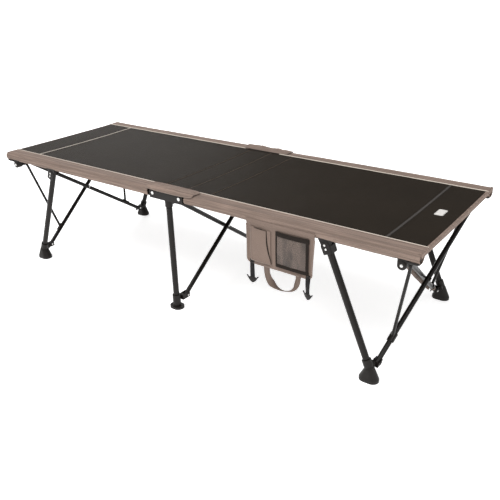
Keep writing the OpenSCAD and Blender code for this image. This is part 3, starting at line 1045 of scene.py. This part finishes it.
def leg_socket(name, at, side, end, body):
    """The folded plate and back wall over the top of an end leg. Returns the leg's direction."""
    lean = end * LEG_LEAN
    along = Vector((math.sin(lean), 0, -math.cos(lean)))
    across = Vector((math.cos(lean), 0, math.sin(lean))) * end

    def spot(u, w, out):
        return at + along * u + across * w + Vector((0, side * out, 0))

    outline = [(-0.0105, -0.0125), (-0.0105, 0.0125), (0.0040, 0.0178), (0.0340, 0.0165), (0.0340, -0.0165),
               (0.0040, -0.0178)]
    plate = [spot(u, w, SOCKET_FACE + out) for out in (0.0, 0.0020) for u, w in outline]
    plate += [spot(u, w, SOCKET_FACE + SOCKET_RIDGE) for u in (-0.0075, 0.0325) for w in (-0.003, 0.003)]
    hull_piece(f"{name}_plate", plate, body)
    back = [spot(u, w, out) for out in (-SOCKET_FACE, SOCKET_FACE + 0.0012)
            for u, w in ((0.0060, 0.0180), (0.0060, 0.0206), (0.0345, 0.0165), (0.0345, 0.0192))]
    hull_piece(f"{name}_back", back, body)
    return along


def leg_rivets(name, at, out, joint):
    along = leg_socket(name.replace("swing", "socket"), at, out.y, math.copysign(1, at.x), joint["child"])
    face = at + out * (SOCKET_FACE + SOCKET_RIDGE)
    rivet_head(f"{name}_outer_rivet", face, out, joint["child"], 0.0040)
    rivet_head(f"{name}_lower_rivet", face + along * 0.0150, out, joint["child"], 0.0040)
    rivet_head(f"{name}_inner_rivet", at - out * LEG_GRIP, -out, joint["child"])


def knuckle(name, at, out, joint):
    """The round cap and rivet on the outboard face of an end brace's lug."""
    boss = [(0.0158, -0.0060), (0.0160, 0.0002), (0.0152, 0.0022), (0.0128, 0.0038), (0.0088, 0.0044),
            (0.0064, 0.0030)]
    turned(f"{name}_knuckle", boss, at + out * LUG_FACE, out, "plastic", joint["parent"], "moulded_plastic",
           sides=32)
    rivet_head(f"{name}_rivet", at + out * LUG_GRIP, out, joint["child"], 0.0056)


def rivet_pair(name, at, axis, grip, body):
    for way, label in ((-1, "inner"), (1, "outer")):
        rivet_head(f"{name}_{label}_rivet", at + axis * way * grip, axis * way, body)


for name, joint in JOINTS.items():
    at, axis = Vector(joint["pos_m"]), Vector(joint["axis"])
    out = Vector((0, -1 if at.y < 0 else 1, 0))
    if name.endswith(("hub_pivot", "foot_pivot")) or name == "width_fold":
        rivet_pair(name, at, axis, BRACE_GRIP, joint["child"])
    elif name.endswith("_cross"):
        rivet_pair(name, at, axis, CROSS_GRIP, joint["child"])
    elif name.endswith("leg_swing"):
        leg_rivets(name, at, out, joint)
    elif name.endswith("strut_turn"):
        clevis = Vector((math.copysign(END_X, at.x), at.y, JOINTS["near_right_brace_tilt"]["pos_m"][2]))
        rivet_pair(name, clevis, axis, CLEVIS_GRIP, joint["parent"])
    elif name.endswith("brace_tilt"):
        knuckle(name, at, out, joint)


def end_cradle(side, end):
    """A trough of moulded plastic under the end of a rail, outboard of the brace's lug."""
    sign = SIGN[end]
    name = near_or_far(side)
    first, last = END_X + 0.019, HALF_L - 0.004
    bend = last - 0.010               # from here the trough's outside curves in towards its end
    outer, inner = 0.0262, 0.0196
    xs = steps(first, last, 14)
    arc = [math.radians(-a) for a in steps(42, 138, 12)]
    verts = []
    for x in xs:
        close = max(0.0, (x - bend) / 0.010)
        drawn_in = 0.0050 * (1 - math.sqrt(max(0.0, 1 - close ** 2)))
        for r, angles in ((outer - drawn_in, arc), (inner, arc[::-1])):
            verts += [Vector((sign * x, side * RAIL_Y + r * math.cos(a), RAIL_Z + r * math.sin(a)))
                      for a in angles]
    cradle = build(f"{name}_{end}_end_cradle", verts, loft_faces(len(xs), 2 * len(arc)), "plastic",
                   f"{name}_{end}_rail", "moulded_plastic")
    soften(cradle, 0.0008)


for side, end in QUARTERS:
    end_cradle(side, end)


def tension_strap():
    """Webbing sewn round one end brace near its two pivots, lying on the brace's inner side between them."""
    top = Vector(JOINTS["right_brace_turn"]["pos_m"])
    foot = Vector(JOINTS["far_right_hub_pivot"]["pos_m"])
    inward = Vector(JOINTS["right_brace_turn"]["axis"])
    line = (foot - top).normalized()
    length = (foot - top).length
    start, end = 0.040, length - 0.062
    sewn, clear = 0.0106, 0.0152      # off the brace's axis, in the loops and between them
    points = []
    for t in steps(0, 1, 60):
        along = start + (end - start) * t
        lie = min(1.0, min(along - start, end - along) / 0.03)
        sag = 0.006 * math.sin(math.pi * t) + 0.0012 * ripple(along, 0, 0, 11)
        points.append(top + line * along + inward * (sewn + (clear - sewn) * lie)
                      + Vector((0, 0, -1)) * sag)
    across = inward.cross(line)
    strap_mesh("tension_strap", points, 0.0340, 0.0016, "webbing", "right_brace_down", "webbing",
               across.cross(line))
    for label, along in (("top", start + 0.004), ("foot", end - 0.004)):
        verts, faces = webbing_ring(top + line * along, line, inward, across)
        build(f"tension_strap_{label}_loop", verts, faces, "webbing", "right_brace_down", "webbing")


def webbing_ring(centre, line, inward, across):
    """A sewn loop of webbing round a tube."""
    width, inner, outer, sides = 0.030, 0.0098, 0.0112, 28
    verts = []
    for r, along in ((inner, -width / 2), (outer, -width / 2), (outer, width / 2), (inner, width / 2)):
        verts += [centre + line * along + (inward * math.cos(a) + across * math.sin(a)) * r
                  for a in steps(0, 2 * math.pi, sides)[:-1]]
    return verts, loft_faces(4, sides, closed=True)


tension_strap()


def blank_patch():
    """A small sewn patch with rounded corners and nothing on it, near the right end of the deck."""
    centre, half, corner = (0.974, 0.004), (0.016, 0.030), 0.006
    straight = 0.8                    # share of the side before its corners

    def point(s, t):
        x, y = 2 * s - 1, 2 * t - 1
        turn = max(0.0, (abs(y) - straight) / (1 - straight))
        reach = half[0] - corner * (1 - math.sqrt(max(0.0, 1 - turn ** 2)))
        return deck_point(centre[0] + x * reach, centre[1] + y * half[1], 0.0014)

    body = DECK_BODY["right"]
    patch = cloth_grid("end_patch", point, steps(0, 1, 8), steps(0, 1, 40), "patch_cloth", body, "piping",
                       thick=0.0008)
    edge = [point(s, 0.03) for s in steps(0.06, 0.94, 6)] + [point(0.94, t) for t in steps(0.06, 0.94, 24)]
    edge += [point(s, 0.97) for s in steps(0.94, 0.06, 6)] + [point(0.06, t) for t in steps(0.94, 0.06, 24)]
    thread = stitch_run("end_patch_stitches", [p + Vector((0, 0, 0.0006)) for p in edge], 0.0028,
                        "grey_thread", body, "piping", radius=0.0003)
    fold_across(patch)
    fold_across(thread)


blank_patch()

# ---- finish of the metal and plastic pieces ----

PLASTIC = ("plastic", "moulded_plastic")
ENAMEL = ("enamel", "tube_paint")

# Start of a node's name: material and slot, and the width of the rounded edges. The first match is used.
FINISHES = {
    "rail_brackets": (PLASTIC, 0.0015),
    "rail_cap": (PLASTIC, 0.0012),
    "rail_": (ENAMEL, 0.0004),
    "hinge_bracket": (PLASTIC, 0.0012),
    "hinge_pins": (("rivet", "rivet_steel"), 0.0008),
    "middle_leg": (ENAMEL, 0.0004),
    "middle_foot": (PLASTIC, 0.0016),
    "middle_brace": (ENAMEL, 0.0004),
    "end_leg": (ENAMEL, 0.0004),
    "end_foot": (PLASTIC, 0.0018),
    "brace_clevis": (PLASTIC, 0.0012),
    "brace_hub": (PLASTIC, 0.0010),
    "end_brace": (ENAMEL, 0.0004),
    "strut": (ENAMEL, 0.0004),
}

for name, node in frame["nodes"].items():
    for start, ((material, slot), width) in FINISHES.items():
        if name.startswith(start):
            node.data.materials.clear()
            node.data.materials.append(MATERIALS[material])
            soften(node, width).angle_limit = math.radians(50)
            break


# ---- camera, light and floor ----

# A camera fitted to the photograph.
EYE = Vector((1.6191, -1.9990, 1.3358))
YAW, PITCH, ROLL = -0.63774, -0.43874, -0.02396
LENS = 44.0


def camera():
    look = Vector((math.cos(PITCH) * math.sin(YAW), math.cos(PITCH) * math.cos(YAW), math.sin(PITCH)))
    right = Vector((math.cos(YAW), -math.sin(YAW), 0))
    up = right.cross(look)
    tilted_right = right * math.cos(ROLL) + up * math.sin(ROLL)
    tilted_up = up * math.cos(ROLL) - right * math.sin(ROLL)
    data = bpy.data.cameras.new("camera")
    data.sensor_width = 36.0
    data.lens = LENS
    data.clip_start, data.clip_end = 0.05, 200
    obj = linked("camera", data)
    turn = Matrix((tilted_right, tilted_up, -look)).transposed().to_4x4()
    obj.matrix_world = Matrix.Translation(EYE) @ turn
    bpy.context.scene.camera = obj


def soft_light(name, at, size, power):
    data = bpy.data.lights.new(name, "AREA")
    data.shape = "RECTANGLE"
    data.size, data.size_y = size
    data.energy = power
    obj = linked(name, data)
    obj.location = at
    obj.rotation_mode = "QUATERNION"
    obj.rotation_quaternion = (Vector((0, 0, 0.35)) - Vector(at)).to_track_quat("-Z", "Y")


def floor():
    """A white floor that gives off a little light of its own, so that it stays white under the cot."""
    shader = Shader("floor")
    shader.set(Roughness=0.9, Specular_IOR_Level=0.1, Emission_Color=(1, 1, 1, 1), Emission_Strength=0.60)
    shader.colour(shader.ramp(shader.noise(0.7, 2), [(0.3, (0.93, 0.93, 0.93)), (0.7, (0.96, 0.96, 0.96))]))
    reach, below = 70.0, -0.0004
    corners = [(-reach, -reach, below), (reach, -reach, below), (reach, reach, below), (-reach, reach, below)]
    mesh = mesh_of("floor", corners, [(0, 1, 2, 3)])
    mesh.materials.append(shader.material)
    linked("floor", mesh)


def studio():
    world = bpy.data.worlds.new("studio")
    bpy.context.scene.world = world
    world.use_nodes = True
    background = world.node_tree.nodes["Background"]
    background.inputs["Color"].default_value = (1, 1, 1, 1)
    background.inputs["Strength"].default_value = 0.46
    soft_light("key", (-1.2, -2.4, 3.0), (2.4, 1.4), 38)
    soft_light("fill", (3.0, -1.0, 1.9), (0.4, 2.6), 22)
    soft_light("sheen", (-3.2, 2.2, 1.7), (2.6, 1.4), 34)
    data = bpy.data.lights.new("overhead", "SUN")
    data.energy = 1.75
    data.angle = math.radians(50)
    linked("overhead", data).rotation_euler = (math.radians(18), math.radians(-14), 0)
    bpy.context.scene.view_settings.view_transform = "Standard"


camera()
studio()
floor()
